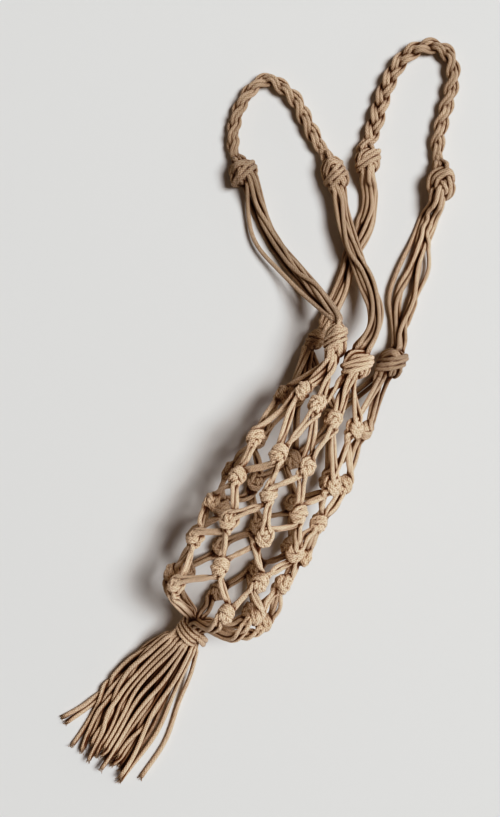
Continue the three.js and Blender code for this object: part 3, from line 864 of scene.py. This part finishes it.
def braid_cords(side, knots):
    """Paths of a braid's cords between the upper ends of two handle knots, and the cord of either knot
    that each one continues."""
    first, last = (knots[name] for name in ROUTE_ENDS[side])
    stops = [np.array((x, y, BRAID_HEIGHT)) for x, y in BRAID_ROUTES[side]]
    ends = [np.mean([course[0] for course in knot], axis=0) for knot in (first, last)]
    route = smooth([ends[0], *stops, ends[1]], BRAID_FINENESS)
    middle = resampled(route, round(steps_along(route).sum() / BRAID_STEP))
    stations = np.arange(len(middle)) * BRAID_STEP
    rights = sideways(np.gradient(middle, axis=0))
    from_ends = np.minimum(stations, stations[-1] - stations)
    taper = np.clip(from_ends / BRAID_TAPER["length"], BRAID_TAPER["end"], 1)
    sway = taper * np.linspace(*BRAID_SWAY[side], len(stations))
    shares, degrees = zip(*BRAID_TURNS[side])
    turned = np.radians(np.interp(stations / stations[-1], shares, degrees))[:, None]
    wide = rights * np.cos(turned) + UP * np.sin(turned)
    thick = UP * np.cos(turned) - rights * np.sin(turned)
    middle = middle + UP * BRAID_RISE * np.sin(turned)
    lift = taper * (BRAID_LIFT - BRAID_NARROWING * np.sin(turned[:, 0]))
    paths = []
    for strand, offsets in enumerate(BRAID_STRANDS):
        turn = 2 * pi * (stations / BRAID_PERIOD + strand / len(BRAID_STRANDS))
        course = middle + wide * (sway * np.sin(turn))[:, None]
        course += thick * (lift * np.sin(2 * turn))[:, None]
        across = sideways(np.gradient(course, axis=0))
        for aside, upward in offsets:
            paths.append((course + across * aside + UP * upward)[BRAID_CLEAR:-BRAID_CLEAR])
    links = []
    for knot, end, right in ((first, 0, rights[0]), (last, -1, rights[-1])):
        order = ranked([course[0] for course in knot], right)
        by_path = ranked([path[end] for path in paths], right)
        links.append(dict(zip(by_path, order)))
    return paths, links


def add_handle(cords, side, knots, bundles, swells):
    """A handle's cords, each from one corner knot through two handle knots to the other."""
    first, last = ROUTE_ENDS[side]
    paths, (starts, finishes) = braid_cords(side, knots)
    for number, path in enumerate(paths):
        start, finish = starts[number], finishes[number]
        cords.add(np.vstack((
            bundles[first][start][:1:-1], knots[first][start][-2::-1], path,
            knots[last][finish][:-1], bundles[last][finish][2:],
        )), swells=swells)


def tassel_cords():
    """Paths of the tassel's cords, settled on the floor and on each other."""
    root, along, *_ = knot_axes(GATHER_KNOT)
    root = root - along * (GATHER_KNOT["long"] / 2 - TASSEL_START)
    paths = []
    for layer in TASSEL_LAYERS:
        lanes = layer["lanes"]
        for index, lane in enumerate(lanes):
            share = 2 * index / (len(lanes) - 1) - 1
            begin = root + (0, share * TASSEL_ROOT, layer["root"] * (1 - TASSEL_ROUNDING * share**2))
            begin[1:] += chance.uniform(-TASSEL_JITTER, TASSEL_JITTER, 2)
            edge = max(0, lane - TURN_OUT["lane"])
            length = chance.uniform(*TASSEL_LENGTHS) - TURN_OUT["shorter"] * edge
            length += LONG_SIDE["longer"] * max(0, LONG_SIDE["lane"] - lane)
            phase = chance.uniform(0, 2 * pi)
            wave = chance.uniform(*TASSEL_WANDER["waves"])
            bend = chance.normal(0, layer["bend"])
            points = []
            for part in np.linspace(0, 1, TASSEL_STATIONS):
                reach = part * length
                settled = 1 - exp(-((reach / TASSEL_SPREAD["length"]) ** TASSEL_SPREAD["power"]))
                drop = np.interp(reach, *zip(*TASSEL_FALL))
                wander = TASSEL_WANDER["sway"] * sin(2 * pi * reach / wave + phase)
                wander *= min(reach / TASSEL_WANDER["full"], 1)
                turned = max(0, (part - TURN_OUT["from"]) / TURN_OUT["over"]) ** TURN_OUT["power"]
                aside = (lane - edge - begin[1]) * settled + wander + bend * part**2 + edge * turned
                points.append(begin + (-reach, aside, (layer["rest"] - begin[2]) * drop))
            paths.append(resampled(smooth(points), TASSEL_NODES))
    return relaxed(paths, 2 * TASSEL_RADIUS, **TASSEL_SETTLING)


def add_fray(cords, path):
    """Short loose fibres at a cord's cut end."""
    end, head = path[-1], unit(path[-1] - path[-3])
    side = unit(np.cross(head, UP))
    out = np.cross(side, head)
    for number in range(FRAY["fibres"]):
        turn = 2 * pi * (number + chance.uniform(*FRAY["jitter"])) / FRAY["fibres"]
        aside = cos(turn) * side + sin(turn) * out
        begin = end + aside * chance.uniform(*FRAY["ring"]) * (TASSEL_RADIUS - FRAY["radius"]) - head
        reach = chance.uniform(*FRAY["lengths"])
        lean = aside * FRAY["spread"] * chance.uniform(*FRAY["leans"])
        middle = begin + (head + lean / 2) * (1 + reach / 2)
        tip = begin + (head + lean) * (1 + reach)
        cords.add((begin, middle, tip), FRAY["radius"], cut_end=True, sides=FRAY["sides"])


def new_object(name, data):
    """An object in the scene."""
    made = bpy.data.objects.new(name, data)
    bpy.context.scene.collection.objects.link(made)
    return made


def new_material(name):
    """A material without nodes, and a function that adds one: its inputs are linked or set."""
    material = bpy.data.materials.new(name)
    material.use_nodes = True
    tree = material.node_tree
    tree.nodes.clear()

    def node(kind, inputs=(), **settings):
        made = tree.nodes.new("ShaderNode" + kind)
        for key, value in settings.items():
            setattr(made, key, value)
        for socket, value in dict(inputs).items():
            if isinstance(value, bpy.types.NodeSocket):
                tree.links.new(value, made.inputs[socket])
            else:
                made.inputs[socket].default_value = value
        return made

    return material, node


def cotton_material():
    """Braided cotton, which reads the cords' tone, cut ends and crevices. The tone carries painted light
    and shade, the crevices carry painted shade, and the plait's grooves and pits are painted shade.
    """
    material, node = new_material("cotton_cord")

    def calc(operation, *values):
        return node("Math", dict(enumerate(values)), operation=operation).outputs[0]

    def attribute(name):
        return node("Attribute", attribute_name=name).outputs["Fac"]

    uv = node("UVMap", uv_map="cord").outputs[0]
    split = node("SeparateXYZ", {0: uv})
    lay = calc("MULTIPLY", split.outputs[0], PLAIT_ALONG)
    turn = calc("MULTIPLY", split.outputs[1], PLAIT_AROUND)
    waves = []
    for operation in ("ADD", "SUBTRACT"):
        slant = calc(operation, turn, lay)
        waves.append(calc("ABSOLUTE", calc("SINE", calc("MULTIPLY", slant, pi))))
    plait = calc("MULTIPLY", *waves)
    pit_shade = calc("MINIMUM", calc("MAXIMUM", *waves), PIT_LIMIT)

    place = node("TexCoord").outputs["Object"]
    fibres = node("TexNoise", {"Vector": place, **FIBRES}).outputs["Fac"]
    mottle = node("TexNoise", {"Vector": place, **MOTTLE}).outputs["Fac"]
    # painted shade: the colour is darker in the plait's grooves and pits, and lighter on its crests
    shade = calc("MULTIPLY_ADD", plait, SHADES["plait"], SHADES["base"])
    shade = calc("MULTIPLY_ADD", pit_shade, SHADES["pit_shade"], shade)
    for noise, weight in ((fibres, SHADES["fibres"]), (mottle, SHADES["mottle"])):
        shade = calc("ADD", shade, calc("MULTIPLY_ADD", noise, weight, -weight / 2))
    shade = calc("SUBTRACT", shade, calc("MULTIPLY", attribute("cut_end"), SHADES["cut_end"]))
    ramp = node("ValToRGB", {"Fac": shade})
    stops = ramp.color_ramp.elements
    stops[0].position, stops[1].position = COTTON_COLOURS[0][0], COTTON_COLOURS[-1][0]
    for position, _ in COTTON_COLOURS[1:-1]:
        stops.new(position)
    for stop, (_, colour) in zip(stops, COTTON_COLOURS):
        stop.color = colour
    # the tone scales the colour: painted light and shade, with each cord's random step
    bright = calc("MULTIPLY_ADD", attribute("tone"), TONE_STEP, 1.0)
    toned = node("VectorMath", {0: ramp.outputs["Color"], "Scale": bright}, operation="SCALE")
    tinted = node("Mix", {
        0: attribute("crevice"), 6: toned.outputs[0], 7: CREVICE_TINT,
    }, data_type="RGBA", blend_type="MULTIPLY")

    relief = calc("MULTIPLY_ADD", fibres, FIBRE_RELIEF, plait)
    shader = node("BsdfPrincipled", {
        "Base Color": tinted.outputs[2],
        "Roughness": calc("MULTIPLY_ADD", plait, -CREST_POLISH, ROUGHNESS),
        "Normal": node("Bump", {"Height": relief, **RELIEF}).outputs["Normal"],
        **SHEEN,
    })
    node("OutputMaterial", {"Surface": shader.outputs[0]})
    return material


def floor_material():
    """Pale, and darker far off: painted shade."""
    material, node = new_material("floor")
    place = node("TexCoord").outputs["Object"]
    radius = node("VectorMath", {0: place}, operation="LENGTH").outputs["Value"]
    near, far = FLOOR_SHADE_FADE
    far_shade = node("MapRange", {"Value": radius, "From Min": near, "From Max": far})
    colour = node("Mix", {
        0: far_shade.outputs["Result"], 6: FLOOR_COLOUR, 7: FLOOR_FAR_SHADE_COLOUR,
    }, data_type="RGBA")
    shader = node("BsdfPrincipled", {
        "Base Color": colour.outputs[2], "Roughness": FLOOR_ROUGHNESS,
    })
    node("OutputMaterial", {"Surface": shader.outputs[0]})
    return material


def add_floor():
    """A round floor that curves up into a low wall far off."""
    turns = np.linspace(0, 2 * pi, FLOOR_SEGMENTS, endpoint=False)
    points = [(r * cos(t), r * sin(t), z) for r, z in FLOOR_PROFILE for t in turns]
    faces = [tuple(range(FLOOR_SEGMENTS))]
    for ring in range(len(FLOOR_PROFILE) - 1):
        for i in range(FLOOR_SEGMENTS):
            first = ring * FLOOR_SEGMENTS + i
            second = ring * FLOOR_SEGMENTS + (i + 1) % FLOOR_SEGMENTS
            faces.append((second, first, first + FLOOR_SEGMENTS, second + FLOOR_SEGMENTS))
    mesh = bpy.data.meshes.new("floor")
    mesh.from_pydata(points, [], faces)
    mesh.polygons.foreach_set("use_smooth", np.arange(len(faces)) > 0)
    mesh.materials.append(floor_material())
    floor = new_object("floor", mesh)
    floor.location.z = -FLOOR_DROP


def add_camera_and_light():
    """The camera, a soft round lamp that points at the picture's middle, and the world's light."""
    scene = bpy.context.scene
    over = [value / METRE for value in CAMERA_OVER]
    data = bpy.data.cameras.new("camera")
    data.sensor_fit = "VERTICAL"
    data.sensor_height = SENSOR
    data.lens = SENSOR * CAMERA_HEIGHT / PICTURE_HEIGHT_ON_FLOOR
    data.clip_end = CLIP_END
    camera = new_object("camera", data)
    camera.location = (*over, CAMERA_HEIGHT / METRE)
    camera.rotation_euler = (0, 0, radians(CAMERA_TURN))
    scene.camera = camera

    light = bpy.data.lights.new("key", "AREA")
    light.shape = "DISK"
    light.size = KEY_SIZE
    light.energy = KEY_POWER
    light.color = KEY_COLOUR
    lamp = new_object("key", light)
    toward = Vector(KEY_FROM).normalized()
    lamp.location = Vector((*over, 0)) + toward * KEY_DISTANCE
    lamp.rotation_euler = toward.to_track_quat("Z", "Y").to_euler()

    world = bpy.data.worlds.new("studio")
    world.use_nodes = True
    background = world.node_tree.nodes["Background"]
    background.inputs["Color"].default_value = WORLD_COLOUR
    background.inputs["Strength"].default_value = WORLD_LIGHT
    scene.world = world
    view = scene.view_settings
    view.view_transform = "Standard"
    view.use_curve_mapping = True
    curves = view.curve_mapping
    for channel, points in TONE_CURVES.items():
        for point in points:
            curves.curves[channel].points.new(*point)
    curves.update()


def add_holder(material):
    """The net in four pieces, the two handles and the tassel."""
    looks = net_ties()
    tie = tied(LARGE_TIE)
    each = len(tie)
    corners = [large_knot(tie, knot) for knot in CORNER_KNOTS]
    knots = {name: large_knot(tie, knot) for name, knot in HANDLE_KNOTS.items()}
    swells = [([*CORNER_KNOTS, *HANDLE_KNOTS.values()], KNOT_REACH)]
    pieces = {}

    rows = net_knots()
    paths = net_paths(rows, looks, corners)
    net_swells = [*swells, (sum(rows, []), NET_KNOT_REACH)]
    for number, corner in enumerate(CORNER_KNOTS):
        net = Cords(CREVICE_DEPTHS["net"], NET_LIGHT_BY_HEIGHT)
        for path in paths[each * number:each * (number + 1)]:
            net.add(path, NET_RADIUS, swells=net_swells)
        for path in outer_wraps(corner, corners[number]):
            net.add(path, KNOT_RADIUS)
        pieces[f"net_{number + 1}"] = ("net_bag", net)

    loose = {name: bundle_cords(name, knots[name], corners[BUNDLES[name]["corner"]]) for name in BUNDLES}
    loose_paths = [path for paths in loose.values() for path in paths]
    settled = relaxed(loose_paths, 2 * RADIUS, **BUNDLE_SETTLING)
    for number, name in enumerate(loose):
        loose[name] = settled[each * number:each * (number + 1)]
    for side in ROUTE_ENDS:
        handle = Cords(CREVICE_DEPTHS["handle"], HANDLE_SHADE_TONES[side])
        add_handle(handle, side, knots, loose, swells)
        for name in ROUTE_ENDS[side]:
            for path in outer_wraps(HANDLE_KNOTS[name], knots[name]):
                handle.add(path, KNOT_RADIUS)
        pieces[f"handle_{side}_cords"] = (f"handle_{side}", handle)

    tassel = Cords(CREVICE_DEPTHS["tassel"])
    add_bands(tassel, GATHER_KNOT, GATHER_BANDS)
    for shift in STUB_CORDS:
        tassel.add(np.array(STUB) + (shift, 0, 0), BAND_RADIUS)
    for path in tassel_cords():
        tassel.add(path, TASSEL_RADIUS, cut_end=True)
        add_fray(tassel, path)
    pieces["tassel_cords"] = ("tassel", tassel)

    nearby = Nearby([path for _, cords in pieces.values() for path in cords.paths])
    for name, (node, cords) in pieces.items():
        cords.made(name, node, material, nearby)


add_camera_and_light()
add_floor()
add_holder(cotton_material())
